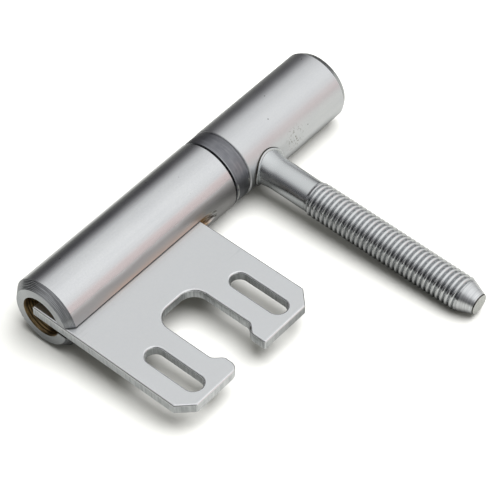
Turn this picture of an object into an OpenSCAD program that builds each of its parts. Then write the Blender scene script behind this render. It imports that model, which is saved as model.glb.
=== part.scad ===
// Drill-in hinge: a turned two-sleeve roll on one pin, a punched leaf for the frame and a threaded stem for the door.
// Built on the roll's axis along X: the frame sleeve runs to -X, the door sleeve to +X, leaf and stem point to -Y.
// It lies as it would on a table, on the roll and on the stem's last thread, with the table at z = 0.

/* [Roll] */
// Outer diameter of both sleeves
roll_d = 16; // [14:0.5:22]
// Length of the frame sleeve, from the bearing end to the open end
frame_len = 49; // [46:0.5:60]
// Length of the door sleeve
door_len = 31.4; // [30.5:0.1:45]
// Length of the turned chamfer on the frame sleeve's open end
open_bevel_len = 1.7; // [0.8:0.1:2.5]
// Depth of that chamfer, measured down from the sleeve's outside
open_bevel_depth = 1.4; // [0.6:0.1:1.8]
// Length of the chamfer on the door sleeve's closed end
closed_bevel_len = 1.5; // [0.6:0.1:2.5]
// Depth of that chamfer
closed_bevel_depth = 0.9; // [0.4:0.1:1.8]
// Edge break on the two sleeve ends that face the bearing ring
bearing_bevel = 0.15; // [0.1:0.05:0.6]

/* [Pin] */
// Diameter of the pin
pin_d = 8.9; // [7.5:0.1:9.5]
// Length of the pin held in the frame sleeve
pin_held = 20; // [14:0.5:22]
// Length of the pin standing out of the frame sleeve
pin_out = 27; // [18:0.5:28]
// Chamfer on the pin's ends
pin_bevel = 1; // [0.4:0.1:1.6]
// Radial clearance of the pin in the frame sleeve
pin_seat_gap = 0.02; // [0.01:0.01:0.05]
// Radial running clearance of the pin in the door sleeve and in the ring
pin_run_gap = 0.05; // [0.02:0.01:0.1]

/* [Bearing ring] */
// Outer diameter of the ring
ring_d = 15.8; // [12.5:0.1:16]
// Thickness of the ring along the roll
ring_t = 4.1; // [2.5:0.1:6]
// Axial play between the frame sleeve and the ring
ring_play = 0.45; // [0.1:0.05:0.6]
// Clearance between the ring and the door sleeve that it rests on
ring_seat_gap = 0.05; // [0.02:0.01:0.1]
// Edge break of the ring
ring_bevel = 0.25; // [0.1:0.05:0.8]

/* [Leaf] */
// Thickness of the leaf
leaf_t = 2.2; // [1.5:0.1:2.8]
// Height of the leaf's upper face above the roll's axis
leaf_top = 1.36; // [0.9:0.02:1.6]
// Distance from the roll's axis to the leaf's free edge
leaf_reach = 37.7; // [36:0.1:50]
// Distance from the bearing end of the frame sleeve to the leaf's near edge
leaf_start = 10.8; // [9:0.1:14]
// Angle by which the leaf lies higher than the stem, in degrees
leaf_lift = 1.2; // [0:0.1:3]
// Corner cut of the leaf's two free corners
leaf_corner = 3.2; // [1:0.1:4]
// Clearance of the leaf in the milled slot of the sleeve, above and below
leaf_slot_gap = 0.24; // [0.05:0.01:0.3]
// Length of the tongue that crosses the sleeve's bore at the open end
tongue_len = 14; // [8:0.5:18]
// Clearance between the tongue's end and the bore's far wall
tongue_gap = 1.85; // [0.3:0.05:2.5]
// Clearance between the leaf's inner edge and the pin
leaf_pin_gap = 0.6; // [0.3:0.1:1]
// Radius of the cutter that milled the slot, left as a run-out past the leaf
cutter_r = 5; // [4:0.25:8]

/* [Leaf cut-outs] */
// Width of the notch in the leaf's free edge
notch_w = 11.2; // [9:0.1:13]
// Distance from the roll's axis to the bottom of the notch
notch_start = 17.5; // [14:0.1:19]
// Corner radius at the bottom of the notch
notch_r = 3.6; // [1:0.1:4]
// Height of the lug on each side of the notch's mouth
lug_h = 1.8; // [0.6:0.1:2.4]
// Length of a lug along the notch at its full height
lug_len = 3.2; // [1:0.1:4]
// Length of the curved ramp up to a lug
lug_ramp = 2.8; // [1.5:0.1:4]
// Corner radius of the lug beside the bearing end, at the leaf's free edge
lug_near_r = 0.3; // [0.2:0.1:0.9]
// Corner radius of the other lug
lug_far_r = 2; // [0.4:0.1:2.8]
// Width of the two screw slots
slot_w = 4.1; // [3.5:0.1:5]
// Length of the screw slots from end to end
slot_len = 13.75; // [8:0.25:14]
// Material left between a screw slot and the leaf's free edge
slot_margin = 2.15; // [2:0.05:5]
// Distance between the centres of the screw slots
slot_spacing = 24.8; // [23:0.1:26]

/* [Stem] */
// Distance from the frame sleeve's bearing end to the stem's axis
stem_x = 10.3; // [10:0.1:14]
// Length of the stem from the roll's axis to its tip
stem_len = 62; // [50:0.5:90]
// Diameter of the plain shank
shank_d = 6.9; // [6:0.1:7.4]
// Outer diameter of the thread
thread_d = 7.6; // [7.5:0.1:9]
// Distance from the roll's axis to the thread's first turn
thread_start = 18.5; // [14:0.5:24]
// Distance from one turn of the thread to the next
thread_pitch = 1.13; // [0.9:0.01:1.75]
// Depth of the thread
thread_depth = 0.65; // [0.3:0.05:0.9]
// Width of the thread's flat crest
crest_w = 0.3; // [0.1:0.05:0.4]
// Length of the turned cone at the tip
cone_len = 4.2; // [2:0.1:8]
// Diameter of the flat end of the cone
tip_d = 4.4; // [2:0.1:5.5]
// Diameter of the stem's flared foot on the roll
foot_d = 8.4; // [8:0.1:9.2]
// Length of the flare, counted from the foot's rim to the plain shank
flare_len = 4.6; // [3:0.1:6]
// Height of the rim that follows the roll round the foot
rim_h = 0.45; // [0.2:0.05:0.8]
// Width by which that rim stands out from the flare
rim_w = 0.25; // [0.1:0.05:0.4]
// Diameter of the spigot that holds the foot in the sleeve's wall
spigot_d = 5.6; // [4:0.1:6]
// Radial clearance of the spigot in its hole
spigot_gap = 0.03; // [0.01:0.01:0.05]
// Wall left between the spigot's end and the pin's bore
spigot_floor = 0.6; // [0.3:0.1:1]

/* [Hidden] */
$fn = 96;
// Overlap of a cutting shape past the face that it cuts
past = 1;
// Steps of the curved outlines
curve_steps = 12;

roll_r = roll_d / 2;
pin_r = pin_d / 2;
bore_r = pin_r + pin_seat_gap;
run_r = pin_r + pin_run_gap;
shank_r = shank_d / 2;
thread_r = thread_d / 2;
tip_r = tip_d / 2;
foot_r = foot_d / 2;

ring_x = ring_play;
door_x = ring_x + ring_t + ring_seat_gap;
door_end = door_x + door_len;
door_bore_end = pin_out + pin_bevel;
cone_start = stem_len - cone_len;
thread_bevel = thread_r - shank_r;
thread_turns = floor((cone_start - thread_start) / thread_pitch);

// The stem is turned down until its last thread is as low as the roll.
stem_tilt = asin(roll_r / norm([cone_start, thread_r])) - atan2(thread_r, cone_start);
leaf_tilt = stem_tilt - leaf_lift;
mid_x = (door_end - frame_len) / 2;
mid_y = (roll_r - stem_len * cos(stem_tilt) - tip_r * sin(stem_tilt)) / 2;

leaf_mid_x = -(frame_len + leaf_start) / 2;
leaf_wide = frame_len - leaf_start;
slot_half = leaf_t / 2 + leaf_slot_gap;
leaf_mid_z = leaf_top - leaf_t / 2;
// The tongue's end keeps its gap to the bore at the leaf's upper and lower face.
tongue_h = max(abs(leaf_top), abs(leaf_top - leaf_t));
tongue_reach = sqrt(pow(bore_r, 2) - pow(tongue_h, 2)) - tongue_gap;
leaf_root = pin_r + leaf_pin_gap;

flare_start = sqrt(pow(roll_r, 2) - pow(foot_r, 2));
flare_end = flare_start + flare_len;
flare_rise = foot_r - shank_r;
flare_r = (pow(flare_len, 2) + pow(flare_rise, 2)) / (2 * flare_rise);
spigot_end = run_r + spigot_floor;

function flare_at(s) = shank_r + flare_r - sqrt(pow(flare_r, 2) - pow(flare_end - s, 2));
function ease(t) = (1 - cos(180 * t)) / 2;

module on_table() {
    translate([-mid_x, -mid_y, roll_r]) children();
}

// A solid turned about the roll's axis, from points of [x, radius].
module turned(points) {
    rotate([90, 0, 90]) rotate_extrude() polygon([for (p = points) [p[1], p[0]]]);
}

// A rod along the roll's axis.
module rod(radius, from, to) {
    translate([from, 0, 0]) rotate([0, 90, 0]) cylinder(r = radius, h = to - from);
}

// The stem's own frame: its axis along +Z, from the roll's axis to the tip.
module along_stem() {
    translate([stem_x, 0, 0]) rotate([90 + stem_tilt, 0, 0]) children();
}

// The leaf's own frame: u along the roll, distance from the roll along -Y, z from the leaf's middle.
module along_leaf() {
    rotate([leaf_tilt, 0, 0]) translate([0, 0, leaf_mid_z]) children();
}

module frame_sleeve() {
    color([0.72, 0.73, 0.75]) on_table() difference() {
        turned([
            [-frame_len, 0],
            [-frame_len, roll_r - open_bevel_depth],
            [-frame_len + open_bevel_len, roll_r],
            [-bearing_bevel, roll_r],
            [0, roll_r - bearing_bevel],
            [0, 0],
        ]);
        rod(bore_r, -frame_len - past, past);
        along_leaf() leaf_slot();
    }
}

// The milled slot for the leaf, open at the sleeve's end, with the cutter's round run-out past the leaf.
module leaf_slot() {
    translate([-frame_len - past, -roll_r - past, -slot_half])
        cube([leaf_wide + past, roll_r + past, 2 * slot_half]);
    translate([-leaf_start, -bore_r - cutter_r, -slot_half])
        cylinder(r = cutter_r, h = 2 * slot_half);
}

module frame_leaf() {
    color([0.78, 0.80, 0.81]) on_table() along_leaf() translate([0, 0, -leaf_t / 2])
        linear_extrude(leaf_t) leaf_outline();
}

module leaf_outline() {
    difference() {
        leaf_blank();
        notch();
        for (side = [-1, 1])
            translate([leaf_mid_x + side * slot_spacing / 2, slot_margin - leaf_reach])
                screw_slot();
    }
}

// The blank with its cut corners, and the stepped inner edge that clears the pin and crosses the open bore.
module leaf_blank() {
    near = -leaf_start;
    far = -frame_len;
    polygon([
        [near, -leaf_root],
        [far + tongue_len, -leaf_root],
        [far + tongue_len, tongue_reach],
        [far, tongue_reach],
        [far, leaf_corner - leaf_reach],
        [far + leaf_corner, -leaf_reach],
        [near - leaf_corner, -leaf_reach],
        [near, leaf_corner - leaf_reach],
    ]);
}

// A slot with round ends, from its outer end towards the roll.
module screw_slot() {
    r = slot_w / 2;
    translate([-r, r]) square([slot_w, slot_len - slot_w]);
    translate([0, r]) circle(r);
    translate([0, slot_len - r]) circle(r);
}

// The notch: a round-cornered bottom, straight sides, and a mouth narrowed by a lug on each side.
module notch() {
    half = notch_w / 2;
    lug_y = lug_len - leaf_reach;
    ramp_y = lug_y + lug_ramp;
    translate([leaf_mid_x, 0]) {
        translate([-half, ramp_y]) square([notch_w, -notch_start - notch_r - ramp_y]);
        translate([notch_r - half, -notch_start - notch_r])
            square([notch_w - 2 * notch_r, notch_r]);
        for (side = [-1, 1])
            translate([side * (half - notch_r), -notch_start - notch_r]) circle(notch_r);
        polygon([
            for (i = [0:curve_steps])
                [half - lug_h * ease(i / curve_steps), ramp_y - lug_ramp * i / curve_steps],
            [half - lug_h, -leaf_reach - past],
            [lug_h - half, -leaf_reach - past],
            for (i = [curve_steps:-1:0])
                [lug_h * ease(i / curve_steps) - half, ramp_y - lug_ramp * i / curve_steps],
        ]);
        translate([half - lug_h, -leaf_reach]) lug_corner(lug_near_r);
        translate([lug_h - half, -leaf_reach]) mirror([1, 0]) lug_corner(lug_far_r);
    }
}

// The sliver that rounds a lug's corner at the leaf's free edge.
module lug_corner(radius) {
    difference() {
        translate([0, -past]) square([radius, radius + past]);
        translate([radius, radius]) circle(radius);
    }
}

module hinge_pin() {
    color([0.55, 0.56, 0.58]) on_table() turned([
        [-pin_held, 0],
        [-pin_held, pin_r - pin_bevel],
        [-pin_held + pin_bevel, pin_r],
        [pin_out - pin_bevel, pin_r],
        [pin_out, pin_r - pin_bevel],
        [pin_out, 0],
    ]);
}

module bearing_ring() {
    ring_r = ring_d / 2;
    color([0.37, 0.37, 0.39]) on_table() turned([
        [ring_x, run_r],
        [ring_x, ring_r - ring_bevel],
        [ring_x + ring_bevel, ring_r],
        [ring_x + ring_t - ring_bevel, ring_r],
        [ring_x + ring_t, ring_r - ring_bevel],
        [ring_x + ring_t, run_r],
    ]);
}

module door_sleeve() {
    color([0.72, 0.73, 0.75]) on_table() difference() {
        turned([
            [door_x, 0],
            [door_x, roll_r - bearing_bevel],
            [door_x + bearing_bevel, roll_r],
            [door_end - closed_bevel_len, roll_r],
            [door_end, roll_r - closed_bevel_depth],
            [door_end, 0],
        ]);
        rod(run_r, door_x - past, door_bore_end);
        along_stem() translate([0, 0, spigot_end]) cylinder(r = spigot_d / 2 + spigot_gap, h = roll_r);
    }
}

// The stem is upset into a flared foot with a rim, seated on the roll and held by a spigot in the sleeve's wall.
module door_stem() {
    color([0.70, 0.71, 0.72]) on_table() {
        difference() {
            union() {
                along_stem() rotate_extrude() polygon(stem_profile());
                intersection() {
                    along_stem() cylinder(r = foot_r + rim_w, h = flare_end);
                    rod(roll_r + rim_h, door_x, door_end);
                }
            }
            rod(roll_r, door_x - past, door_end + past);
        }
        along_stem() translate([0, 0, spigot_end + spigot_gap])
            cylinder(r = spigot_d / 2, h = roll_r - spigot_end);
    }
}

// Points of [radius, distance]: the flare's arc, the shank, the thread as a row of rings, and the turned cone.
function stem_profile() = [
    [0, 0],
    [foot_r, 0],
    for (i = [0:curve_steps])
        let (s = flare_start + flare_len * i / curve_steps) [flare_at(s), s],
    [shank_r, thread_start - thread_bevel],
    for (i = [0:thread_turns - 1], p = thread_turn(thread_start + i * thread_pitch)) p,
    [thread_r, thread_start + thread_turns * thread_pitch],
    [thread_r, cone_start],
    [tip_r, stem_len],
    [0, stem_len],
];

// One turn of the thread: its flat crest and the root that follows it.
function thread_turn(s) = [
    [thread_r, s],
    [thread_r, s + crest_w],
    [thread_r - thread_depth, s + (crest_w + thread_pitch) / 2],
];

frame_sleeve();
frame_leaf();
hinge_pin();
bearing_ring();
door_sleeve();
door_stem();
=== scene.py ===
# A drill-in hinge for an inner door, lying on a white table: a zinc-plated roll of two sleeves on one pin,
# with a punched leaf that is screwed to the frame and a threaded stem that is screwed into the door's edge.
import math

import bmesh
import bpy
from mathutils import Euler, Matrix, Vector


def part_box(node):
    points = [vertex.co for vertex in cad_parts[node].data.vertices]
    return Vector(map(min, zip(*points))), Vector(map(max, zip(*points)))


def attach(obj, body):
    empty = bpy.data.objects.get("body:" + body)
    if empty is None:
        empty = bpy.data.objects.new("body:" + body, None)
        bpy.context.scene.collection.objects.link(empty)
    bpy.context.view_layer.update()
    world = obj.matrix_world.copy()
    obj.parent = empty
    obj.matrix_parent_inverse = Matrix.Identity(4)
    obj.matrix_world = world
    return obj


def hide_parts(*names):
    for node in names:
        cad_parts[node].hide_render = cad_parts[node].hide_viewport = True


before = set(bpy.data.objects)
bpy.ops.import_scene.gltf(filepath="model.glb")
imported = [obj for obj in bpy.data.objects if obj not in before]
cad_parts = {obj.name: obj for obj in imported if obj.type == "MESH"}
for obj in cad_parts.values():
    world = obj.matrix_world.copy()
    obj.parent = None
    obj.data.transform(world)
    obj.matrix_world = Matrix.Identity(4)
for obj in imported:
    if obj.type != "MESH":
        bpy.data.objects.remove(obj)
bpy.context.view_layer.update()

# Frame sleeve: the longer half of the roll, turned from steel and zinc plated. Its open end has a turned
# chamfer and a tapped bore that stayed raw, and the slot that holds the leaf was milled through the plating
# afterwards.

MM = 0.001
sleeve_low, sleeve_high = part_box("frame_sleeve")
roll_r = (sleeve_high.z - sleeve_low.z) / 2
roll_axis = Vector((0, (sleeve_low.y + sleeve_high.y) / 2, (sleeve_low.z + sleeve_high.z) / 2))
open_x, bearing_x = sleeve_low.x, sleeve_high.x
frame_bore_r = 4.47 * MM
open_bevel_len, open_bevel_depth = 1.7 * MM, 1.4 * MM
edge_break = 0.15 * MM
bore_break_len, bore_break_depth = 0.25 * MM, 0.2 * MM
tool_marks, tool_mark_depth = 7, 0.045 * MM
tap_pitch, tap_turns, tap_depth = 0.66 * MM, 18, 0.15 * MM
leaf_tilt = math.radians(2.977)
leaf_t, leaf_mid_z = 2.2 * MM, 0.26 * MM
gap_over, gap_under, gap_end = 0.26 * MM, 0.62 * MM, 0.06 * MM
leaf_near_x = bearing_x - 10.8 * MM
cutter_r, hollow_depth, hollow_round = 5 * MM, 0.9 * MM, 0.8 * MM
hair, weld = 0.01 * MM, 1e-6 * MM


def turned(points, closed=False, steps=192):
    """Turns a chain of (x, radius) points about the roll's axis."""
    bm = bmesh.new()
    chain = [bm.verts.new(roll_axis + Vector((x, 0, r))) for x, r in points]
    pairs = list(zip(chain, chain[1:])) + ([(chain[-1], chain[0])] if closed else [])
    edges = [bm.edges.new(pair) for pair in pairs]
    bmesh.ops.spin(bm, geom=chain + edges, cent=roll_axis, axis=(1, 0, 0), angle=math.tau, steps=steps,
                   use_merge=True)
    bmesh.ops.remove_doubles(bm, verts=bm.verts, dist=weld)
    bmesh.ops.recalc_face_normals(bm, faces=bm.faces)
    return bm


def roll_radius(point):
    """Distance of a point from the roll's axis."""
    return math.hypot(point.y - roll_axis.y, point.z - roll_axis.z)


def new_piece(name, bm, materials):
    """An object at the origin that holds the mesh and its materials."""
    mesh = bpy.data.meshes.new(name)
    bm.to_mesh(mesh)
    bm.free()
    for material in materials:
        mesh.materials.append(material)
    obj = bpy.data.objects.new(name, mesh)
    bpy.context.scene.collection.objects.link(obj)
    return obj


def shade(obj, sharp=math.radians(24)):
    """Smooth shading between the real edges."""
    obj.data.shade_smooth()
    obj.data.set_sharp_from_angle(angle=sharp)


def linear(code):
    """Linear colour from an sRGB hex value."""
    parts = [int(code[i:i + 2], 16) / 255 for i in (1, 3, 5)]
    return [p / 12.92 if p <= 0.04045 else ((p + 0.055) / 1.055) ** 2.4 for p in parts] + [1.0]


def set_inputs(tree, node, inputs):
    """Sets a node's inputs to values, or links them to sockets."""
    for key, value in inputs.items():
        if isinstance(value, bpy.types.NodeSocket):
            tree.links.new(value, node.inputs[key])
        else:
            node.inputs[key].default_value = value


def add(tree, kind, inputs=None, **settings):
    """Adds a node with its settings and inputs."""
    node = tree.nodes.new(kind)
    for name, value in settings.items():
        setattr(node, name, value)
    set_inputs(tree, node, inputs or {})
    return node


def new_material(name):
    """An empty node material, with its tree, shader and object coordinates."""
    material = bpy.data.materials.new(name)
    material.use_nodes = True
    tree = material.node_tree
    tree.nodes.clear()
    shader = add(tree, "ShaderNodeBsdfPrincipled")
    add(tree, "ShaderNodeOutputMaterial", {"Surface": shader.outputs["BSDF"]})
    place = add(tree, "ShaderNodeTexCoord").outputs["Object"]
    return material, tree, shader, place


def satin_zinc(name, smooth_rough, dull_rough):
    """Zinc plate on turned steel: a bright grey metal, blurred by the plating's fine grain, cloudy from the
    bath, with faint lathe lines round the roll, drawn lines along it and a few pits."""
    material, tree, shader, place = new_material(name)
    grain_mm, cloud_mm, lathe_mm, drawn_mm, pit_mm = 0.35, 7, 0.28, 1.3, 3.2
    grain = add(tree, "ShaderNodeTexNoise", {"Vector": place, "Scale": 1 / (grain_mm * MM), "Detail": 3})
    cloud = add(tree, "ShaderNodeTexNoise", {"Vector": place, "Scale": 1 / (cloud_mm * MM), "Detail": 4})
    round_roll = add(tree, "ShaderNodeMapping", {"Vector": place, "Scale": (1, 0.03, 0.03)})
    lathe = add(tree, "ShaderNodeTexNoise",
                {"Vector": round_roll.outputs[0], "Scale": 1 / (lathe_mm * MM), "Detail": 2})
    along_roll = add(tree, "ShaderNodeMapping", {"Vector": place, "Scale": (0.02, 1, 1)})
    drawn = add(tree, "ShaderNodeTexNoise",
                {"Vector": along_roll.outputs[0], "Scale": 1 / (drawn_mm * MM), "Detail": 5,
                 "Roughness": 0.65})
    pits = add(tree, "ShaderNodeTexVoronoi", {"Vector": place, "Scale": 1 / (pit_mm * MM)})
    pitted = add(tree, "ShaderNodeMapRange",
                 {"Value": pits.outputs["Distance"], "From Min": 0.03, "From Max": 0.06})
    clouded = add(tree, "ShaderNodeMix",
                  {0: cloud.outputs[0], 6: linear("#dadcdf"), 7: linear("#e6e8e9")}, data_type="RGBA")
    lined = add(tree, "ShaderNodeMix", {0: 0.2, 6: clouded.outputs[2], 7: drawn.outputs[0]},
                data_type="RGBA", blend_type="OVERLAY")
    grained = add(tree, "ShaderNodeMix", {0: 0.16, 6: lined.outputs[2], 7: grain.outputs[0]},
                  data_type="RGBA", blend_type="OVERLAY")
    specked = add(tree, "ShaderNodeMix",
                  {0: pitted.outputs[0], 6: linear("#8f8f8e"), 7: grained.outputs[2]}, data_type="RGBA")
    rough = add(tree, "ShaderNodeMapRange",
                {"Value": cloud.outputs[0], "From Min": 0.3, "From Max": 0.7, "To Min": smooth_rough,
                 "To Max": dull_rough})
    relief = add(tree, "ShaderNodeMath", {0: grain.outputs[0], 1: lathe.outputs[0]}, operation="ADD")
    bump = add(tree, "ShaderNodeBump",
               {"Height": relief.outputs[0], "Strength": 0.10, "Distance": 0.02 * MM})
    set_inputs(tree, shader, {"Base Color": specked.outputs[2], "Metallic": 1,
                              "Roughness": rough.outputs[0], "Normal": bump.outputs[0]})
    return material, tree, shader, place, specked


def streaked_metal(name, dark, light):
    """Steel cut by a tool and left bare: brown with oil and the first rust, streaked along the cut. In its
    darkest tones it is painted shade.
    """
    material, tree, shader, place = new_material(name)
    streak_mm = 0.4
    along = add(tree, "ShaderNodeMapping", {"Vector": place, "Scale": (2, 0.3, 0.3)})
    streak = add(tree, "ShaderNodeTexNoise",
                 {"Vector": along.outputs[0], "Scale": 1 / (streak_mm * MM), "Detail": 4})
    tone = add(tree, "ShaderNodeMapRange", {"Value": streak.outputs[0], "From Min": 0.32, "From Max": 0.66})
    brown = add(tree, "ShaderNodeMix", {0: tone.outputs[0], 6: linear(dark), 7: linear(light)},
                data_type="RGBA")
    bump = add(tree, "ShaderNodeBump",
               {"Height": streak.outputs[0], "Strength": 0.3, "Distance": 0.03 * MM})
    set_inputs(tree, shader, {"Base Color": brown.outputs[2], "Metallic": 1, "Roughness": 0.34,
                              "Normal": bump.outputs[0]})
    return material


def cut_face_zinc(name, dark, light, line_mm):
    """Zinc on a lathe-cut face: darker and sharper than the satin plate, with the tool's rings."""
    material, tree, shader, place = new_material(name)
    round_roll = add(tree, "ShaderNodeMapping", {"Vector": place, "Scale": (1, 0.06, 0.06)})
    rings = add(tree, "ShaderNodeTexNoise",
                {"Vector": round_roll.outputs[0], "Scale": 1 / (line_mm * MM), "Detail": 3})
    tone = add(tree, "ShaderNodeMapRange", {"Value": rings.outputs[0], "From Min": 0.3, "From Max": 0.7})
    grey = add(tree, "ShaderNodeMix", {0: tone.outputs[0], 6: linear(dark), 7: linear(light)},
               data_type="RGBA")
    bump = add(tree, "ShaderNodeBump",
               {"Height": rings.outputs[0], "Strength": 0.25, "Distance": 0.03 * MM})
    set_inputs(tree, shader, {"Base Color": grey.outputs[2], "Metallic": 1, "Roughness": 0.24,
                              "Normal": bump.outputs[0]})
    return material


# Heat from the joint stained the plating tan beside the leaf; above it a grey band of painted shade fades
# to none.
frame_zinc, tree, shader, place, plated = satin_zinc("satin_zinc_on_frame_sleeve", 0.2, 0.26)
tan_top, grey_top, shade_band_top = 1.0 * MM, 3.2 * MM, 4.6 * MM
tan_from, tan_full, tan_fade = 4 * MM, 14 * MM, 2 * MM
spot = add(tree, "ShaderNodeSeparateXYZ", {"Vector": place})
ragged_mm, ragged_by = 2.2, 0.6 * MM
along_leaf = add(tree, "ShaderNodeMapping", {"Vector": place, "Scale": (0.3, 1, 1)})
ragged = add(tree, "ShaderNodeTexNoise",
             {"Vector": along_leaf.outputs[0], "Scale": 1 / (ragged_mm * MM), "Detail": 3})
ragged_up = add(tree, "ShaderNodeMapRange",
                {"Value": ragged.outputs[0], "To Min": -ragged_by, "To Max": ragged_by})
band_z = add(tree, "ShaderNodeMath", {0: spot.outputs["Z"], 1: ragged_up.outputs[0]}, operation="ADD")
tan_part = add(tree, "ShaderNodeMapRange",
               {"Value": band_z.outputs[0], "From Min": roll_axis.z + tan_top,
                "From Max": roll_axis.z + grey_top, "To Min": 1, "To Max": 0},
               interpolation_type="SMOOTHSTEP")
stain_and_shade_part = add(tree, "ShaderNodeMapRange",
                 {"Value": band_z.outputs[0], "From Min": roll_axis.z + grey_top,
                  "From Max": roll_axis.z + shade_band_top, "To Min": 0.8, "To Max": 0},
                 interpolation_type="SMOOTHSTEP")
beside_leaf = add(tree, "ShaderNodeMapRange",
                  {"Value": spot.outputs["X"], "From Min": leaf_near_x, "From Max": leaf_near_x + tan_fade,
                   "To Min": 1, "To Max": 0})
past_end = add(tree, "ShaderNodeMapRange", {"Value": spot.outputs["X"], "From Min": open_x + tan_from,
                                            "From Max": open_x + tan_full})
tan_ends = add(tree, "ShaderNodeMath", {0: past_end.outputs[0], 1: beside_leaf.outputs[0]},
               operation="MULTIPLY")
tan_beside = add(tree, "ShaderNodeMath", {0: tan_part.outputs[0], 1: tan_ends.outputs[0]},
                 operation="MULTIPLY")
above_table = add(tree, "ShaderNodeMath", {0: spot.outputs["Z"], 1: roll_axis.z - shade_band_top},
                  operation="GREATER_THAN")
leaf_side = add(tree, "ShaderNodeMath", {0: spot.outputs["Y"], 1: roll_axis.y}, operation="LESS_THAN")
stain_and_shade_side = add(tree, "ShaderNodeMath", {0: above_table.outputs[0], 1: leaf_side.outputs[0]},
                  operation="MULTIPLY")
tint = add(tree, "ShaderNodeMath", {0: stain_and_shade_part.outputs[0], 1: stain_and_shade_side.outputs[0]},
            operation="MULTIPLY")
# The grey tone is painted shade, the tan tone is the heat stain.
tan_stain_and_grey_shade = add(tree, "ShaderNodeMix",
                 {0: tan_beside.outputs[0], 6: linear("#aeacab"), 7: linear("#cfb4a2")}, data_type="RGBA")
dull = add(tree, "ShaderNodeMix",
           {0: tint.outputs[0], 2: shader.inputs["Roughness"].links[0].from_socket, 3: 0.46})
tree.links.new(dull.outputs[0], shader.inputs["Roughness"])
tinted = add(tree, "ShaderNodeMix", {0: tint.outputs[0], 6: plated.outputs[2], 7: tan_stain_and_grey_shade.outputs[2]},
              data_type="RGBA")
tree.links.new(tinted.outputs[2], shader.inputs["Base Color"])

open_chamfer = [(open_x, roll_r - open_bevel_depth)]
for mark in range(tool_marks):
    for part, depth in ((0.2, 0), (0.55, tool_mark_depth), (0.8, 0)):
        t = (mark + part) / tool_marks
        open_chamfer.append((open_x + t * open_bevel_len + depth * 0.6,
                             roll_r - open_bevel_depth * (1 - t) - depth * 0.8))
open_chamfer.append((open_x + open_bevel_len, roll_r))
tapped_bore = []
for turn in range(tap_turns, 0, -1):
    x = open_x + turn * tap_pitch
    tapped_bore += [(x, frame_bore_r), (x - 0.5 * tap_pitch, frame_bore_r + tap_depth)]
bm = turned(open_chamfer + [
    (bearing_x - edge_break, roll_r),
    (bearing_x, roll_r - edge_break),
    (bearing_x, frame_bore_r),
] + tapped_bore + [
    (open_x + bore_break_len, frame_bore_r),
    (open_x, frame_bore_r + bore_break_depth),
], closed=True)
for face in bm.faces:
    middle = face.calc_center_median()
    r = roll_radius(middle)
    if r < frame_bore_r + tap_depth + hair:
        face.material_index = 1
    elif middle.x < open_x + hair:
        face.material_index = 3
    elif middle.x < open_x + open_bevel_len:
        face.material_index = 2
frame_sleeve = new_piece("turned_frame_sleeve", bm, [
    frame_zinc,
    streaked_metal("raw_steel_of_tapped_bore", "#4d3f2d", "#84704f"),
    cut_face_zinc("zinc_on_turned_chamfer", "#77797c", "#a9abae", 0.3),
    cut_face_zinc("zinc_on_faced_end", "#b0b3b6", "#cbced0", 0.5),
])

in_leaf = (Matrix.Translation(roll_axis) @ Matrix.Rotation(leaf_tilt, 4, "X")
           @ Matrix.Translation((0, 0, leaf_mid_z)))
slot_t = leaf_t + gap_over + gap_under
slot_mid = in_leaf @ Matrix.Translation((0, 0, (gap_over - gap_under) / 2))
past = 1 * MM
slot_len = leaf_near_x + gap_end - open_x + past
slot_place = Matrix.Translation((leaf_near_x + gap_end - slot_len / 2, -(roll_r + past) / 2, 0))
slot_size = Matrix.Diagonal((slot_len, roll_r + past, slot_t, 1))
bm = bmesh.new()
bmesh.ops.create_cube(bm, size=1, matrix=slot_mid @ slot_place @ slot_size)
# The slot's milled faces are raw steel, painted near black as the shade in the thin gaps above and below
# the leaf.
slot_cutter = new_piece("slot_cutter", bm, [streaked_metal("raw_steel_and_painted_shade_of_milled_slot", "#1d1812", "#4a3d2e")])

# The joint's metal has filled the cutter's run-out but for a shallow hollow: brown at the leaf, then
# streaked grey.
run_out_zinc, tree, shader, place = new_material("zinc_on_filled_run_out")
streak_mm, stain_len = 0.6, 3.8 * MM
fan = add(tree, "ShaderNodeMapping", {"Vector": place, "Rotation": (0, 0.5, 0), "Scale": (0.25, 1, 1.6)})
streak = add(tree, "ShaderNodeTexNoise",
             {"Vector": fan.outputs[0], "Scale": 1 / (streak_mm * MM), "Detail": 3})
tone = add(tree, "ShaderNodeMapRange", {"Value": streak.outputs[0], "From Min": 0.36, "From Max": 0.62})
milled_grey = add(tree, "ShaderNodeMix", {0: tone.outputs[0], 6: linear("#5c5751"), 7: linear("#dadbda")},
                  data_type="RGBA")
joint_brown = add(tree, "ShaderNodeMix", {0: tone.outputs[0], 6: linear("#5f4322"), 7: linear("#c09a6a")},
                  data_type="RGBA")
stain_x = add(tree, "ShaderNodeSeparateXYZ", {"Vector": place})
tint = add(tree, "ShaderNodeMapRange",
            {"Value": stain_x.outputs["X"], "From Min": leaf_near_x + 0.3 * stain_len,
             "From Max": leaf_near_x + stain_len, "To Min": 1, "To Max": 0})
tinted = add(tree, "ShaderNodeMix",
              {0: tint.outputs[0], 6: milled_grey.outputs[2], 7: joint_brown.outputs[2]}, data_type="RGBA")
bump = add(tree, "ShaderNodeBump", {"Height": streak.outputs[0], "Strength": 0.5, "Distance": 0.08 * MM})
set_inputs(tree, shader, {"Base Color": tinted.outputs[2], "Metallic": 1, "Roughness": 0.42,
                          "Normal": bump.outputs[0]})

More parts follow.
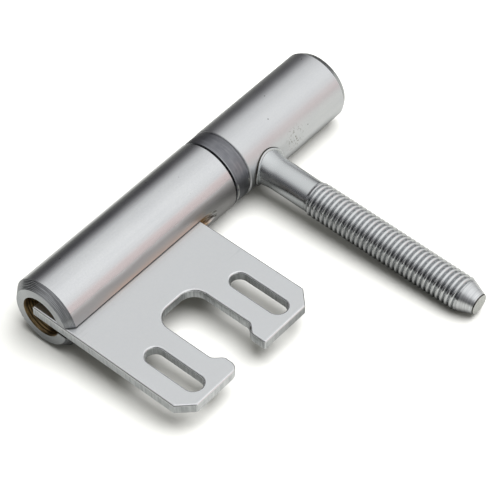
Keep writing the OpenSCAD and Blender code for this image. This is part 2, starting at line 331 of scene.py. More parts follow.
# The hollow is as long as the cutter's run-out and fades into the sleeve.
run_out_len = math.sqrt(cutter_r ** 2 - (frame_bore_r + cutter_r - roll_r) ** 2)
hollow_r = (run_out_len ** 2 + hollow_depth ** 2) / (2 * hollow_depth)
hollow_place = Matrix.Translation((leaf_near_x, hollow_depth - roll_r - hollow_r, 0))
bm = bmesh.new()
bmesh.ops.create_cone(bm, cap_ends=True, segments=256, radius1=hollow_r, radius2=hollow_r, depth=slot_t,
                      matrix=slot_mid @ hollow_place)
rim_edges = [e for e in bm.edges if any(len(f.verts) > 4 for f in e.link_faces)]
bmesh.ops.bevel(bm, geom=rim_edges, offset=hollow_round, offset_type="OFFSET", segments=6, profile=0.5,
                affect="EDGES", material=-1, clamp_overlap=True)
run_out_cutter = new_piece("run_out_cutter", bm, [run_out_zinc])
for cutter in (slot_cutter, run_out_cutter):
    cut = frame_sleeve.modifiers.new(cutter.name, "BOOLEAN")
    cut.object, cut.solver, cut.material_mode = cutter, "EXACT", "TRANSFER"
bpy.context.view_layer.update()
milled = frame_sleeve.evaluated_get(bpy.context.evaluated_depsgraph_get())
frame_sleeve.data = bpy.data.meshes.new_from_object(milled)
frame_sleeve.modifiers.clear()
for cutter in (slot_cutter, run_out_cutter):
    bpy.data.objects.remove(cutter)
shade(frame_sleeve)
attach(frame_sleeve, "frame_half")
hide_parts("frame_sleeve")

# Leaf: one punched sheet of steel, zinc plated, pushed into the sleeve's slot and joined there. The punch
# drew its upper rims round and left streaks on the cut walls, and its tongue crosses the open bore.

leaf_far_x = open_x
leaf_root, tongue_reach, tongue_len = 5.05 * MM, 2.4 * MM, 14 * MM
leaf_reach, leaf_corner = 37.7 * MM, 3.2 * MM
leaf_mid_x = (leaf_far_x + leaf_near_x) / 2
notch_half, notch_start, notch_r = 5.6 * MM, 17.5 * MM, 3.6 * MM
lug_h, lug_len, lug_ramp, ramp_steps = 1.8 * MM, 3.2 * MM, 2.8 * MM, 12
lug_near_r, lug_far_r, corner_r = 0.5 * MM, 2.0 * MM, 0.5 * MM
screw_slot_w, screw_slot_len = 4.1 * MM, 13.75 * MM
screw_slot_margin, screw_slot_spacing = 2.15 * MM, 24.8 * MM
rim_in, rim_drop, sheared_end = 0.36 * MM, 0.34 * MM, 0.2 * MM


def ramp(side):
    """Points of the curved ramp from the notch's straight side up to a lug."""
    top = lug_len + lug_ramp - leaf_reach
    return [(leaf_mid_x + side * (notch_half - lug_h * (1 - math.cos(math.pi * i / ramp_steps)) / 2),
             top - lug_ramp * i / ramp_steps) for i in range(ramp_steps + 1)]


# Each corner of the outline has its own radius, from the near inner corner round by the tongue.
corners = [
    ((leaf_near_x, -leaf_root), 0),
    ((leaf_far_x + tongue_len, -leaf_root), corner_r),
    ((leaf_far_x + tongue_len, tongue_reach), corner_r),
    ((leaf_far_x, tongue_reach), corner_r),
    ((leaf_far_x, leaf_corner - leaf_reach), corner_r),
    ((leaf_far_x + leaf_corner, -leaf_reach), corner_r),
    ((leaf_mid_x - notch_half + lug_h, -leaf_reach), lug_far_r),
]
corners += [(point, 0) for point in reversed(ramp(-1))]
corners += [
    ((leaf_mid_x - notch_half, -notch_start), notch_r),
    ((leaf_mid_x + notch_half, -notch_start), notch_r),
]
corners += [(point, 0) for point in ramp(1)]
corners += [
    ((leaf_mid_x + notch_half - lug_h, -leaf_reach), lug_near_r),
    ((leaf_near_x - leaf_corner, -leaf_reach), corner_r),
    ((leaf_near_x, leaf_corner - leaf_reach), corner_r),
]


def rounded(corners, steps=10):
    """The outline as a list of points, with each corner turned into an arc of its own radius."""
    points = []
    for i, (corner, radius) in enumerate(corners):
        here = Vector(corner)
        into = (here - Vector(corners[i - 1][0])).normalized()
        out = (Vector(corners[(i + 1) % len(corners)][0]) - here).normalized()
        turn = math.atan2(into.x * out.y - into.y * out.x, into.dot(out))
        start = here - into * radius * math.tan(abs(turn) / 2)
        centre = start + Vector((-into.y, into.x)) * math.copysign(radius, turn)
        for k in range(steps + 1) if radius else (0,):
            point = centre + Matrix.Rotation(turn * k / steps, 2) @ (start - centre)
            if all((point - other).length > hair for other in points[:1] + points[-1:]):
                points.append(point)
    return points


def shrunk(points, by):
    """The outline moved into the sheet, which lies on its left."""
    moved = []
    for i, here in enumerate(points):
        into = (here - points[i - 1]).normalized()
        out = (points[(i + 1) % len(points)] - here).normalized()
        left = Vector((-into.y - out.y, into.x + out.x)).normalized()
        moved.append(here + left * by / max(0.5, left.dot(Vector((-into.y, into.x)))))
    return moved


outlines = [rounded(corners)]
for side in (-1, 1):
    slot_x, slot_y = leaf_mid_x + side * screw_slot_spacing / 2, screw_slot_margin - leaf_reach
    slot_half = screw_slot_w / 2
    outlines.append(rounded([
        ((slot_x - slot_half, slot_y), slot_half),
        ((slot_x - slot_half, slot_y + screw_slot_len), slot_half),
        ((slot_x + slot_half, slot_y + screw_slot_len), slot_half),
        ((slot_x + slot_half, slot_y), slot_half),
    ], steps=16))
# Each outline is drawn five times: underside, wall's end, twice on the drawn-in rim, and face.
rim_steps = [
    (0, leaf_t),
    (0, rim_drop),
    (0.28 * rim_in, 0.46 * rim_drop),
    (0.58 * rim_in, 0.15 * rim_drop),
    (rim_in, 0),
]
bm = bmesh.new()
under_edges, face_edges = [], []
for points in outlines:
    rings = [[bm.verts.new((*point, leaf_t / 2 - drop)) for point in shrunk(points, by)]
             for by, drop in rim_steps]
    for row, (low, high) in enumerate(zip(rings, rings[1:])):
        for i in range(len(points)):
            strip = bm.faces.new((low[i - 1], low[i], high[i], high[i - 1]))
            strip.material_index = 2 if row else 1
    under_edges += [bm.edges.get((rings[0][i - 1], rings[0][i])) for i in range(len(points))]
    face_edges += [bm.edges.get((rings[-1][i - 1], rings[-1][i])) for i in range(len(points))]
for edges in (under_edges, face_edges):
    bmesh.ops.triangle_fill(bm, use_beauty=True, use_dissolve=False, edges=edges, normal=(0, 0, 1))
bmesh.ops.recalc_face_normals(bm, faces=bm.faces)
for face in bm.faces:
    if face.material_index == 1 and face.calc_center_median().y < sheared_end - leaf_reach:
        face.material_index = 3
bmesh.ops.transform(bm, verts=bm.verts, matrix=in_leaf)

# Zinc plate on rolled sheet: an even pale grey, with the sheet's fine grain and a few rub marks.
sheet_zinc, tree, shader, place = new_material("satin_zinc_on_sheet_steel")
peel_mm, haze_mm, rub_mm = 0.55, 9, 1.6
peel = add(tree, "ShaderNodeTexNoise", {"Vector": place, "Scale": 1 / (peel_mm * MM), "Detail": 3})
haze = add(tree, "ShaderNodeTexNoise",
           {"Vector": place, "Scale": 1 / (haze_mm * MM), "Detail": 5, "Roughness": 0.6})
along_roll = add(tree, "ShaderNodeMapping",
                 {"Vector": place, "Rotation": (0, 0, 0.5), "Scale": (0.06, 1, 1)})
rub = add(tree, "ShaderNodeTexNoise",
          {"Vector": along_roll.outputs[0], "Scale": 1 / (rub_mm * MM), "Detail": 4})
rubbed = add(tree, "ShaderNodeMapRange", {"Value": rub.outputs[0], "From Min": 0.66, "From Max": 0.8})
hazed = add(tree, "ShaderNodeMix", {0: haze.outputs[0], 6: linear("#e8ebed"), 7: linear("#f0f2f3")},
            data_type="RGBA")
grained = add(tree, "ShaderNodeMix", {0: 0.14, 6: hazed.outputs[2], 7: peel.outputs[0]}, data_type="RGBA",
              blend_type="OVERLAY")
worn = add(tree, "ShaderNodeMix", {0: rubbed.outputs[0], 6: grained.outputs[2], 7: linear("#d9dcde")},
           data_type="RGBA")
rough = add(tree, "ShaderNodeMapRange",
            {"Value": haze.outputs[0], "From Min": 0.3, "From Max": 0.7, "To Min": 0.36, "To Max": 0.46})
bump = add(tree, "ShaderNodeBump", {"Height": peel.outputs[0], "Strength": 0.22, "Distance": 0.03 * MM})
set_inputs(tree, shader, {"Base Color": worn.outputs[2], "Metallic": 1, "Roughness": rough.outputs[0],
                          "Normal": bump.outputs[0]})

# The punch tore the sheet where the near lug's ramp begins to rise; the shade in the tear is painted.
tear_x, tear_y = ramp(1)[ramp_steps // 2]
tear_at = in_leaf @ Vector((tear_x, tear_y, leaf_t / 2 - rim_drop))
tear_r = 0.55 * MM


def with_tear_shade(tree, place, tone):
    """A tone that turns dark at the tear, as painted shade."""
    from_tear = add(tree, "ShaderNodeVectorMath", {0: place, 1: tear_at}, operation="DISTANCE")
    tear_shade_part = add(tree, "ShaderNodeMapRange",
                    {"Value": from_tear.outputs["Value"], "From Min": 0.5 * tear_r, "From Max": tear_r,
                     "To Min": 0.9, "To Max": 0})
    return add(tree, "ShaderNodeMix", {0: tear_shade_part.outputs[0], 6: tone, 7: linear("#3a3a38")},
               data_type="RGBA")


# Zinc on the punched walls: streaked through the sheet's thickness, with painted shade at the tear.
wall_zinc, tree, shader, place = new_material("zinc_on_punched_walls")
streak_mm = 0.32
through = add(tree, "ShaderNodeMapping", {"Vector": place, "Scale": (1, 1, 0.08)})
streaks = add(tree, "ShaderNodeTexNoise",
              {"Vector": through.outputs[0], "Scale": 1 / (streak_mm * MM), "Detail": 3})
tone = add(tree, "ShaderNodeMapRange", {"Value": streaks.outputs[0], "From Min": 0.25, "From Max": 0.75})
streaked = add(tree, "ShaderNodeMix", {0: tone.outputs[0], 6: linear("#a0a3a5"), 7: linear("#d2d5d6")},
               data_type="RGBA")
bump = add(tree, "ShaderNodeBump", {"Height": streaks.outputs[0], "Strength": 0.5, "Distance": 0.08 * MM})
set_inputs(tree, shader, {"Base Color": with_tear_shade(tree, place, streaked.outputs[2]).outputs[2], "Metallic": 1,
                          "Roughness": 0.4, "Normal": bump.outputs[0]})

# Zinc on the drawn-in rims: polished by the punch, so smoother than the face, with a paler colour as a
# painted highlight.
rim_zinc, tree, shader, place = new_material("zinc_on_drawn_rims")
wear_mm = 1.2
wear = add(tree, "ShaderNodeTexNoise", {"Vector": place, "Scale": 1 / (wear_mm * MM), "Detail": 3})
polish_and_highlight = add(tree, "ShaderNodeMix", {0: wear.outputs[0], 6: linear("#e4e7e9"), 7: linear("#fbfcfd")},
               data_type="RGBA")
set_inputs(tree, shader, {"Base Color": with_tear_shade(tree, place, polish_and_highlight.outputs[2]).outputs[2], "Metallic": 1,
                          "Roughness": 0.22})

# The strip's own edge was sheared cleanly and is paler than the punched walls.
sheared_zinc = cut_face_zinc("zinc_on_sheared_edge", "#c4c7c9", "#eceeef", 0.4)
leaf = new_piece("punched_leaf", bm, [sheet_zinc, wall_zinc, rim_zinc, sheared_zinc])
shade(leaf, math.radians(40))
for polygon in leaf.data.polygons:
    polygon.use_smooth = polygon.material_index > 0
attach(leaf, "frame_half")
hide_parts("frame_leaf")

# Pin: a ground steel rod with chamfered ends, pressed into the frame sleeve. The door half turns on it, so
# it is left bare and lightly oiled.

pin_low, pin_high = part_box("hinge_pin")
pin_r = (pin_high.z - pin_low.z) / 2
pin_bevel = 1 * MM
bm = turned([
    (pin_low.x, 0),
    (pin_low.x, pin_r - pin_bevel),
    (pin_low.x + pin_bevel, pin_r),
    (pin_high.x - pin_bevel, pin_r),
    (pin_high.x - 0.6 * pin_bevel, pin_r - 0.3 * pin_bevel),
    (pin_high.x - 0.15 * pin_bevel, pin_r - 0.75 * pin_bevel),
    (pin_high.x, pin_r - 1.3 * pin_bevel),
    (pin_high.x, 0),
], steps=128)
pin = new_piece("ground_pin", bm, [cut_face_zinc("ground_steel", "#8a8c90", "#a3a5a8", 0.25)])
shade(pin)
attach(pin, "frame_half")
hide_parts("hinge_pin")

# Bearing ring: a loose ring of dark, oiled steel between the two sleeves. Handling has scratched its rim,
# and its two edges are rubbed bright.

ring_low, ring_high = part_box("bearing_ring")
ring_r = (ring_high.z - ring_low.z) / 2
run_bore_r = 4.5 * MM
ring_bevel = 0.25 * MM
bm = turned([
    (ring_low.x, run_bore_r),
    (ring_low.x, ring_r - ring_bevel),
    (ring_low.x + 0.3 * ring_bevel, ring_r - 0.3 * ring_bevel),
    (ring_low.x + ring_bevel, ring_r),
    (ring_high.x - ring_bevel, ring_r),
    (ring_high.x - 0.3 * ring_bevel, ring_r - 0.3 * ring_bevel),
    (ring_high.x, ring_r - ring_bevel),
    (ring_high.x, run_bore_r),
], closed=True)
for face in bm.faces:
    middle = face.calc_center_median()
    if ring_r - ring_bevel < roll_radius(middle) < ring_r - hair:
        face.material_index = 1

dark_steel, tree, shader, place = new_material("dark_oiled_steel")
scratch_mm, mottle_mm = 0.4, 1.8
slant = add(tree, "ShaderNodeMapping", {"Vector": place, "Rotation": (0, 0, 0.5), "Scale": (1, 0.1, 0.1)})
scratches = add(tree, "ShaderNodeTexNoise",
                {"Vector": slant.outputs[0], "Scale": 1 / (scratch_mm * MM), "Detail": 4, "Roughness": 0.6})
scratched = add(tree, "ShaderNodeMapRange",
                {"Value": scratches.outputs[0], "From Min": 0.5, "From Max": 0.85})
mottle = add(tree, "ShaderNodeTexNoise", {"Vector": place, "Scale": 1 / (mottle_mm * MM), "Detail": 4})
oiled = add(tree, "ShaderNodeMix", {0: mottle.outputs[0], 6: linear("#72747a"), 7: linear("#9a9ba0")},
            data_type="RGBA")
handled = add(tree, "ShaderNodeMix", {0: scratched.outputs[0], 6: oiled.outputs[2], 7: linear("#a8a9ad")},
              data_type="RGBA")
# Low at the front its edges are chipped down to pale steel.
chip_mm, chip_w, chips_full, chips_end = 1.1, 0.6 * MM, 1 * MM, 4 * MM
ring_place = add(tree, "ShaderNodeSeparateXYZ", {"Vector": place})
ring_mid_x, chip_from = (ring_low.x + ring_high.x) / 2, (ring_high.x - ring_low.x) / 2 - chip_w
off_middle = add(tree, "ShaderNodeMath", {0: ring_place.outputs["X"], 1: ring_mid_x, 2: chip_from},
                 operation="COMPARE")
at_edge = add(tree, "ShaderNodeMath", {0: 1, 1: off_middle.outputs[0]}, operation="SUBTRACT")
low_part = add(tree, "ShaderNodeMapRange",
               {"Value": ring_place.outputs["Z"], "From Min": roll_axis.z + chips_full,
                "From Max": roll_axis.z + chips_end, "To Min": 1, "To Max": 0})
chip_place = add(tree, "ShaderNodeMath", {0: at_edge.outputs[0], 1: low_part.outputs[0]},
                 operation="MULTIPLY")
chips = add(tree, "ShaderNodeTexNoise", {"Vector": place, "Scale": 1 / (chip_mm * MM), "Detail": 3})
chip_part = add(tree, "ShaderNodeMath", {0: chips.outputs[0], 1: chip_place.outputs[0]},
                operation="MULTIPLY")
chipped = add(tree, "ShaderNodeMapRange", {"Value": chip_part.outputs[0], "From Min": 0.4, "From Max": 0.5})
worn = add(tree, "ShaderNodeMix", {0: chipped.outputs[0], 6: handled.outputs[2], 7: linear("#d2d3cf")},
           data_type="RGBA")
bump = add(tree, "ShaderNodeBump", {"Height": scratches.outputs[0], "Strength": 0.3, "Distance": 0.03 * MM})
set_inputs(tree, shader, {"Base Color": worn.outputs[2], "Metallic": 1, "Roughness": 0.41,
                          "Normal": bump.outputs[0]})

ring = new_piece("loose_ring", bm,
                 [dark_steel, cut_face_zinc("rubbed_steel_edge", "#83858a", "#aeb0b3", 0.3)])
shade(ring)
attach(ring, "ring")
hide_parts("bearing_ring")

# Door sleeve: the shorter half of the roll, turned like the other, with a blind bore for the pin and a
# closed, chamfered end.

door_low, door_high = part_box("door_sleeve")
closed_bevel_len, closed_bevel_depth = 1.5 * MM, 0.9 * MM
bore_reach, bore_mouth, door_break = 28 * MM, 0.25 * MM, 0.28 * MM
bore_end_x = bearing_x + bore_reach
bm = turned([
    (bore_end_x, 0),
    (bore_end_x, run_bore_r),
    (door_low.x + bore_mouth, run_bore_r),
    (door_low.x, run_bore_r + bore_mouth),
    (door_low.x, roll_r - door_break),
    (door_low.x + 0.4 * door_break, roll_r - 0.35 * door_break),
    (door_low.x + door_break, roll_r),
    (door_high.x - closed_bevel_len, roll_r),
    (door_high.x - 0.55 * closed_bevel_len, roll_r - 0.38 * closed_bevel_depth),
    (door_high.x - 0.15 * closed_bevel_len, roll_r - 0.8 * closed_bevel_depth),
    (door_high.x, roll_r - 1.25 * closed_bevel_depth),
    (door_high.x, 0),
])
for face in bm.faces:
    middle = face.calc_center_median()
    if middle.x > door_high.x - closed_bevel_len:
        face.material_index = 1
    elif roll_radius(middle) < run_bore_r + hair:
        face.material_index = 2
# Handling has scuffed the plating above the stem.
door_zinc, tree, shader, place, plated = satin_zinc("satin_zinc_on_door_sleeve", 0.29, 0.36)
scuff_mm, scuff_r, scuff_end = 0.5, 1.2 * MM, 3.4 * MM
scuff_at = roll_axis + Vector((25.5 * MM, -7.9 * MM, 1.1 * MM))
from_scuff = add(tree, "ShaderNodeVectorMath", {0: place, 1: scuff_at}, operation="DISTANCE")
scuff_part = add(tree, "ShaderNodeMapRange", {"Value": from_scuff.outputs["Value"], "From Min": scuff_r,
                                              "From Max": scuff_end, "To Min": 0.8, "To Max": 0})
chips = add(tree, "ShaderNodeTexNoise", {"Vector": place, "Scale": 1 / (scuff_mm * MM), "Detail": 2})
chipped = add(tree, "ShaderNodeMapRange", {"Value": chips.outputs[0], "From Min": 0.55, "From Max": 0.65})
scuff = add(tree, "ShaderNodeMath", {0: scuff_part.outputs[0], 1: chipped.outputs[0]}, operation="MULTIPLY")
scuffed = add(tree, "ShaderNodeMix", {0: scuff.outputs[0], 6: plated.outputs[2], 7: linear("#7f776c")},
              data_type="RGBA")
tree.links.new(scuffed.outputs[2], shader.inputs["Base Color"])
door_sleeve = new_piece("turned_door_sleeve", bm, [
    door_zinc,
    cut_face_zinc("zinc_on_closed_end", "#a9acae", "#c4c7c9", 0.4),
    cut_face_zinc("reamed_steel_of_pin_bore", "#6e6c6a", "#8d8a86", 0.4),
])
shade(door_sleeve)
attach(door_sleeve, "door_half")
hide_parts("door_sleeve")

# Stem: one steel rod, upset into a flared foot whose rim follows the roll, with a rolled thread and a
# turned cone at its tip, bright zinc plated. It screws into the door's edge.

stem_tilt = math.radians(4.177)
stem_x = bearing_x + 10.3 * MM
stem_len, cone_len, tip_r = 62 * MM, 4.2 * MM, 2.2 * MM
shank_r, thread_r, thread_depth, thread_pitch = 3.45 * MM, 3.8 * MM, 0.5 * MM, 1.13 * MM
thread_start, run_in = 20.4 * MM, 0.6 * MM
crest_width, crest_lead = 1.7, 0.25 * MM
foot_r, flare_len, rim_h, rim_w = 4.2 * MM, 4.6 * MM, 0.45 * MM, 0.25 * MM
foot_sunk, rim_shoulder, rim_crown, ring_step = 0.3 * MM, 0.14 * MM, 0.03 * MM, 0.05 * MM
flare_tail, thread_on_cone = 1.2 * MM, 1 * MM
flare_start = math.sqrt(roll_r ** 2 - foot_r ** 2)
flare_end = flare_start + flare_len
flare_rise = foot_r - shank_r
flare_r = (flare_len ** 2 + flare_rise ** 2) / (2 * flare_rise)
cone_start = stem_len - cone_len
tip_break, tip_break_w = 0.25 * MM, 0.12 * MM
rings_per_turn, stem_steps = 16, 112


def flare_at(s):
    """Radius of the flare's arc at a distance from the roll's axis."""
    return shank_r + flare_r - math.sqrt(flare_r ** 2 - min(flare_len * 1.2, max(0, flare_end - s)) ** 2)


def smooth(t):
    """An S-curve from 0 to 1."""
    t = min(1, max(0, t))
    return t * t * (3 - 2 * t)


def thread_at(s, turn):
    """Radius of the rolled thread at a distance along the stem and a part of a turn."""
    off_crest = abs(((s + crest_lead) / thread_pitch + turn) % 1 - 0.5) * 2
    drop = thread_depth * (1 - math.cos(math.pi * off_crest ** crest_width)) / 2
    grown = smooth((s - thread_start + run_in) / (2 * run_in))
    crest = shank_r + (thread_r - shank_r) * grown
    cone = tip_r + (thread_r - tip_r) * (stem_len - s) / cone_len
    return min(crest - drop * grown, max(cone, tip_r))


# The stem is spun along Z, then its rings are bent to the roll at the foot and cut into a thread.
foot_rings = [
    (foot_r + rim_w, -foot_sunk),
    (foot_r + rim_w, rim_h - rim_shoulder),
    (foot_r + 0.72 * rim_w, rim_h - rim_crown),
    (foot_r + 0.35 * rim_w, rim_h),
]
flare_rings, shank_rings = 22, 8
heights = [roll_r + i * ring_step for i in range(len(foot_rings))]
flare_low = roll_r + rim_h
flare_span = flare_end + flare_tail - flare_low
heights += [flare_low + flare_span * i / flare_rings for i in range(flare_rings + 1)]
shank_low, shank_high = heights[-1], thread_start - run_in
heights += [shank_low + (shank_high - shank_low) * i / shank_rings for i in range(1, shank_rings)]
thread_span = stem_len - tip_break - shank_high
thread_rings = round(thread_span / thread_pitch * rings_per_turn)
heights += [shank_high + thread_span * i / thread_rings for i in range(thread_rings + 1)]
bm = bmesh.new()
level = bm.verts.layers.int.new("level")
chain = []
for i, s in enumerate(heights):
    vert = bm.verts.new((shank_r, 0, s))
    vert[level] = i
    chain.append(vert)
edges = [bm.edges.new(pair) for pair in zip(chain, chain[1:])]
bmesh.ops.spin(bm, geom=chain + edges, cent=(0, 0, 0), axis=(0, 0, 1), angle=math.tau, steps=stem_steps,
               use_merge=True)
bmesh.ops.remove_doubles(bm, verts=bm.verts, dist=weld)
for vert in bm.verts:
    turn = math.atan2(vert.co.y, vert.co.x)
    s = vert.co.z
    if vert[level] < len(foot_rings):
        r, h = foot_rings[vert[level]]
        s = math.sqrt((roll_r + h) ** 2 - (r * math.sin(turn)) ** 2)
    elif s < shank_low + hair:
        up = smooth((s - flare_low) / (shank_low - flare_low))
        sag = (roll_r + rim_h) - math.sqrt((roll_r + rim_h) ** 2 - (foot_r * math.sin(turn)) ** 2)
        s -= sag * (1 - up)
        r = flare_at(s)
    elif s < shank_high:
        r = shank_r
    else:
        r = thread_at(s, turn / math.tau)
    vert.co = (r * math.cos(turn), r * math.sin(turn), s)
tip_edges = [e for e in bm.edges if e.is_boundary and e.verts[0].co.z > cone_start]
capped = bmesh.ops.edgeloop_fill(bm, edges=tip_edges)["faces"]
bmesh.ops.inset_region(bm, faces=capped, thickness=tip_break_w, depth=0, use_even_offset=True)
bmesh.ops.translate(bm, verts=capped[0].verts[:], vec=(0, 0, tip_break))
foot_edges = [e for e in bm.edges if e.is_boundary]
bmesh.ops.edgeloop_fill(bm, edges=foot_edges)
bmesh.ops.recalc_face_normals(bm, faces=bm.faces)
for face in bm.faces:
    middle = face.calc_center_median()
    if middle.z > shank_high:
        face.material_index = 3
    elif math.hypot(middle.x, middle.y) > foot_r + 0.95 * rim_w:
        face.material_index = 4
    if middle.z > cone_start + thread_on_cone:
        face.material_index = 1
    if middle.z > stem_len - tip_break:
        face.material_index = 5
    if middle.z > stem_len - hair:
        face.material_index = 2
in_stem = (Matrix.Translation(roll_axis + Vector((stem_x, 0, 0)))
           @ Matrix.Rotation(math.pi / 2 + stem_tilt, 4, "X"))
bmesh.ops.transform(bm, verts=bm.verts, matrix=in_stem)

# Bright zinc on a rolled and upset rod: a smoother, darker mirror than the satin roll, with fine pits.
bright_zinc, tree, shader, place = new_material("bright_zinc_on_rolled_stem")
grain_mm, cloud_mm, pit_mm = 0.3, 5, 2.6
grain = add(tree, "ShaderNodeTexNoise", {"Vector": place, "Scale": 1 / (grain_mm * MM), "Detail": 3})
cloud = add(tree, "ShaderNodeTexNoise", {"Vector": place, "Scale": 1 / (cloud_mm * MM), "Detail": 4})
pits = add(tree, "ShaderNodeTexVoronoi", {"Vector": place, "Scale": 1 / (pit_mm * MM)})
pitted = add(tree, "ShaderNodeMapRange",
             {"Value": pits.outputs["Distance"], "From Min": 0.03, "From Max": 0.06})
clouded = add(tree, "ShaderNodeMix", {0: cloud.outputs[0], 6: linear("#d2d6d8"), 7: linear("#e2e5e6")},
              data_type="RGBA")
specked = add(tree, "ShaderNodeMix", {0: pitted.outputs[0], 6: linear("#7d7d7c"), 7: clouded.outputs[2]},
              data_type="RGBA")
rough = add(tree, "ShaderNodeMapRange",
            {"Value": cloud.outputs[0], "From Min": 0.3, "From Max": 0.7, "To Min": 0.22, "To Max": 0.28})
bump = add(tree, "ShaderNodeBump", {"Height": grain.outputs[0], "Strength": 0.10, "Distance": 0.02 * MM})
set_inputs(tree, shader, {"Base Color": specked.outputs[2], "Metallic": 1, "Roughness": rough.outputs[0],
                          "Normal": bump.outputs[0]})

# Bright zinc on the rolled thread, with dented crests; its colour is painted darker towards the roots as
# shade.
thread_zinc, tree, shader, place = new_material("bright_zinc_on_rolled_thread")
dent_mm = 0.5
stem_dir = Vector((0, -math.cos(stem_tilt), -math.sin(stem_tilt)))
dents = add(tree, "ShaderNodeTexNoise", {"Vector": place, "Scale": 1 / (dent_mm * MM), "Detail": 3})
from_foot = add(tree, "ShaderNodeVectorMath", {0: place, 1: roll_axis + Vector((stem_x, 0, 0))},
                operation="SUBTRACT")
off_axis = add(tree, "ShaderNodeVectorMath", {0: from_foot.outputs[0], 1: stem_dir},
               operation="CROSS_PRODUCT")
radius = add(tree, "ShaderNodeVectorMath", {0: off_axis.outputs[0]}, operation="LENGTH")
# Painted shade: the base colour darkens from the crest down into the roots.
crest = add(tree, "ShaderNodeMapRange",
            {"Value": radius.outputs["Value"], "From Min": thread_r - thread_depth, "From Max": thread_r})
rolled = add(tree, "ShaderNodeMix", {0: crest.outputs[0], 6: linear("#b0b3b5"), 7: linear("#eaeced")},
             data_type="RGBA")
dented = add(tree, "ShaderNodeMix", {0: 0.25, 6: rolled.outputs[2], 7: dents.outputs[0]}, data_type="RGBA",
             blend_type="OVERLAY")
bump = add(tree, "ShaderNodeBump", {"Height": dents.outputs[0], "Strength": 0.12, "Distance": 0.03 * MM})
set_inputs(tree, shader, {"Base Color": dented.outputs[2], "Metallic": 1, "Roughness": 0.19,
                          "Normal": bump.outputs[0]})

# Zinc on the lathe-cut cone: the tool left rings across the stem.
cone_zinc, tree, shader, place = new_material("zinc_on_turned_cone")
turning_mm = 0.22
across_stem = add(tree, "ShaderNodeMapping",
                  {"Vector": place, "Rotation": (-stem_tilt, 0, 0), "Scale": (0.05, 1, 0.05)})
rings = add(tree, "ShaderNodeTexNoise",
            {"Vector": across_stem.outputs[0], "Scale": 1 / (turning_mm * MM), "Detail": 3})
tone = add(tree, "ShaderNodeMapRange", {"Value": rings.outputs[0], "From Min": 0.3, "From Max": 0.7})
grey = add(tree, "ShaderNodeMix", {0: tone.outputs[0], 6: linear("#d0d3d5"), 7: linear("#eef0f1")},
           data_type="RGBA")
bump = add(tree, "ShaderNodeBump", {"Height": rings.outputs[0], "Strength": 0.35, "Distance": 0.04 * MM})
set_inputs(tree, shader, {"Base Color": grey.outputs[2], "Metallic": 1, "Roughness": 0.32,
                          "Normal": bump.outputs[0]})

# Zinc on the sawn end: dull and grainy.
end_zinc, tree, shader, place = new_material("zinc_on_sawn_end")
saw_mm = 0.3
saw = add(tree, "ShaderNodeTexNoise", {"Vector": place, "Scale": 1 / (saw_mm * MM), "Detail": 4})
tone = add(tree, "ShaderNodeMapRange", {"Value": saw.outputs[0], "From Min": 0.35, "From Max": 0.65})
dull = add(tree, "ShaderNodeMix", {0: tone.outputs[0], 6: linear("#cbccc9"), 7: linear("#eeefec")},
           data_type="RGBA")
bump = add(tree, "ShaderNodeBump", {"Height": saw.outputs[0], "Strength": 0.5, "Distance": 0.06 * MM})
set_inputs(tree, shader, {"Base Color": dull.outputs[2], "Metallic": 1, "Roughness": 0.5,
                          "Normal": bump.outputs[0]})

stem = new_piece("rolled_stem", bm, [
    bright_zinc,
    cone_zinc,
    end_zinc,
    thread_zinc,
    # Painted shade of the seam round the foot: a dark tone on the rim's outer wall.
    streaked_metal("painted_shade_of_pressed_seam", "#34332f", "#5f5d58"),
    # A painted shadow line round the tip: a dark tone on its narrow break.
    streaked_metal("painted_shade_of_cone_edge", "#3a3a38", "#6b6a67"),
])
shade(stem, math.radians(50))
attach(stem, "door_half")
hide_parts("door_stem")

# Table, light and camera: a white matt table under one wide lamp, in a room that is bright overhead and
# dark behind the roll, photographed with a long lens from the roll's open end.

floor_half = 1.5
bm = bmesh.new()
bmesh.ops.create_grid(bm, x_segments=1, y_segments=1, size=floor_half)
table_white = bpy.data.materials.new("matt_white_table")
table_white.use_nodes = True
tree = table_white.node_tree
tree.nodes.clear()
# Warm white paint. To the metal's reflections it is painted darker than to the camera, and painted shade
# darkens it further behind the roll and far to the left.
seen = add(tree, "ShaderNodeLightPath")
mirrored = add(tree, "ShaderNodeMath",
               {0: seen.outputs["Is Glossy Ray"], 1: seen.outputs["Is Transmission Ray"]},
               operation="MAXIMUM")
on_table = add(tree, "ShaderNodeTexCoord").outputs["Object"]
behind_dir, left_dir = (0.2, 0.98, 0), (-0.88, -0.47, 0)
pool_end, dark_from = 50 * MM, 85 * MM
left_end, left_dark = 55 * MM, 100 * MM
contact_reach = 5 * MM
behind = add(tree, "ShaderNodeVectorMath", {0: on_table, 1: behind_dir}, operation="DOT_PRODUCT")
dim = add(tree, "ShaderNodeMapRange",
          {"Value": behind.outputs["Value"], "From Min": pool_end, "From Max": dark_from},
          interpolation_type="SMOOTHSTEP")
# Between leaf and stem painted shade darkens it in reflections, which the thread shows.
beside_stem, before_roll = 9 * MM, 32 * MM
shade_at = Vector((roll_axis.x + stem_x - beside_stem, roll_axis.y - before_roll, 0))
shade_r, shade_end = 15 * MM, 32 * MM
from_shade = add(tree, "ShaderNodeVectorMath", {0: on_table, 1: shade_at}, operation="DISTANCE")
shade_part = add(tree, "ShaderNodeMapRange", {"Value": from_shade.outputs["Value"], "From Min": shade_r,
                                              "From Max": shade_end, "To Min": 0.65, "To Max": 0})
leftward = add(tree, "ShaderNodeVectorMath", {0: on_table, 1: left_dir}, operation="DOT_PRODUCT")
dim_left = add(tree, "ShaderNodeMapRange", {"Value": leftward.outputs["Value"], "From Min": left_end,
                                            "From Max": left_dark}, interpolation_type="SMOOTHSTEP")
dim_far = add(tree, "ShaderNodeMath", {0: dim.outputs[0], 1: dim_left.outputs[0]}, operation="MAXIMUM")
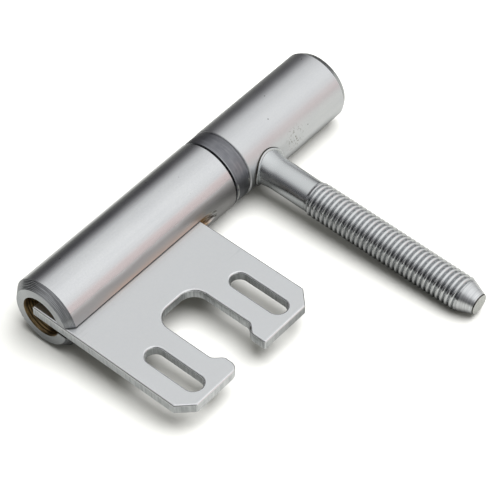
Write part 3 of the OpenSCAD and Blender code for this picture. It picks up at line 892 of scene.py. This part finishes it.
dimmest = add(tree, "ShaderNodeMath", {0: dim_far.outputs[0], 1: shade_part.outputs[0]},
              operation="MAXIMUM")
pool = add(tree, "ShaderNodeMix", {0: dimmest.outputs[0], 6: linear("#83837d"), 7: linear("#3e3e3b")},
           data_type="RGBA")
# Painted contact shade: in reflections the table darkens within a few millimetres of the hinge.
contact = add(tree, "ShaderNodeAmbientOcclusion", {"Color": pool.outputs[2], "Distance": contact_reach},
              samples=8)
exposed = add(tree, "ShaderNodeMix",
              {0: mirrored.outputs[0], 6: linear("#adada6"), 7: contact.outputs["Color"]}, data_type="RGBA")
paint = add(tree, "ShaderNodeBsdfDiffuse", {"Color": exposed.outputs[2]})
add(tree, "ShaderNodeOutputMaterial", {"Surface": paint.outputs[0]})
table = new_piece("white_table", bm, [table_white])

world = bpy.data.worlds.new("studio")
bpy.context.scene.world = world
world.use_nodes = True
tree = world.node_tree
tree.nodes.clear()
bright_dir = (0.17, -0.42, 0.9)
card_dir = Vector((0.52, -0.82, 0.24)).normalized()
flag_dir = Vector((-0.85, -0.45, 0.28)).normalized()
toward = add(tree, "ShaderNodeTexCoord").outputs["Generated"]
overhead = add(tree, "ShaderNodeVectorMath", {0: toward, 1: bright_dir}, operation="DOT_PRODUCT")
dome = add(tree, "ShaderNodeValToRGB", {"Fac": overhead.outputs["Value"]})
dome_tones = [(0.0, "#4c4b4d"), (0.18, "#7e7d7f"), (0.34, "#acabac"), (0.44, "#cdcdcd"), (0.58, "#e2e2e2"),
              (0.7, "#e6e6e6"), (0.85, "#efefef"), (1.0, "#ffffff")]
while len(dome.color_ramp.elements) < len(dome_tones):
    dome.color_ramp.elements.new(0.5)
for element, (at, tone) in zip(dome.color_ramp.elements, dome_tones):
    element.position, element.color = at, linear(tone)
beside = add(tree, "ShaderNodeVectorMath", {0: toward, 1: card_dir}, operation="DOT_PRODUCT")
card = add(tree, "ShaderNodeMapRange",
           {"Value": beside.outputs["Value"], "From Min": 0.965, "From Max": 0.987},
           interpolation_type="SMOOTHSTEP")
room = add(tree, "ShaderNodeMix", {0: card.outputs[0], 6: dome.outputs["Color"], 7: linear("#ffebe8")},
           data_type="RGBA", blend_type="MULTIPLY")
# A dark flag stands low on the left, which the thread and the cone show.
flag_side = add(tree, "ShaderNodeVectorMath", {0: toward, 1: flag_dir}, operation="DOT_PRODUCT")
flag = add(tree, "ShaderNodeMapRange",
           {"Value": flag_side.outputs["Value"], "From Min": 0.75, "From Max": 0.92},
           interpolation_type="SMOOTHSTEP")
flagged = add(tree, "ShaderNodeMix", {0: flag.outputs[0], 6: room.outputs[2], 7: linear("#929294")},
              data_type="RGBA", blend_type="MULTIPLY")
background = add(tree, "ShaderNodeBackground", {"Color": flagged.outputs[2], "Strength": 1})
add(tree, "ShaderNodeOutputWorld", {"Surface": background.outputs[0]})

# A wide overhead lamp, flagged off the hinge, keeps the table white up to the hinge's soft shadow.
overhead_lamp = bpy.data.lights.new("overhead_lamp", "AREA")
lamp_size, lamp_watts = 1.15, 37
overhead_lamp.shape, overhead_lamp.size, overhead_lamp.energy = "DISK", lamp_size, lamp_watts
overhead_lamp.color = (0.99, 0.99, 1.06)
lamp = bpy.data.objects.new("overhead_lamp", overhead_lamp)
lamp.location = (0.175, -0.22, 0.96)
lamp.rotation_euler = (-lamp.location).to_track_quat("-Z", "Y").to_euler()
bpy.context.scene.collection.objects.link(lamp)
lit = bpy.data.collections.new("lit_by_overhead_lamp")
lit.objects.link(table)
lamp.light_linking.receiver_collection = lit

lens = bpy.data.cameras.new("camera")
sensor_mm, focal_mm, turned_deg = 36, 168.921, (42.508, 1.757, -49.47)
lens.sensor_width, lens.lens = sensor_mm, focal_mm
camera = bpy.data.objects.new("camera", lens)
camera.location = (-0.23599, -0.20574, 0.35133)
camera.rotation_euler = Euler([math.radians(a) for a in turned_deg], "XYZ")
bpy.context.scene.collection.objects.link(camera)
bpy.context.scene.camera = camera
bpy.context.scene.view_settings.view_transform = "Standard"
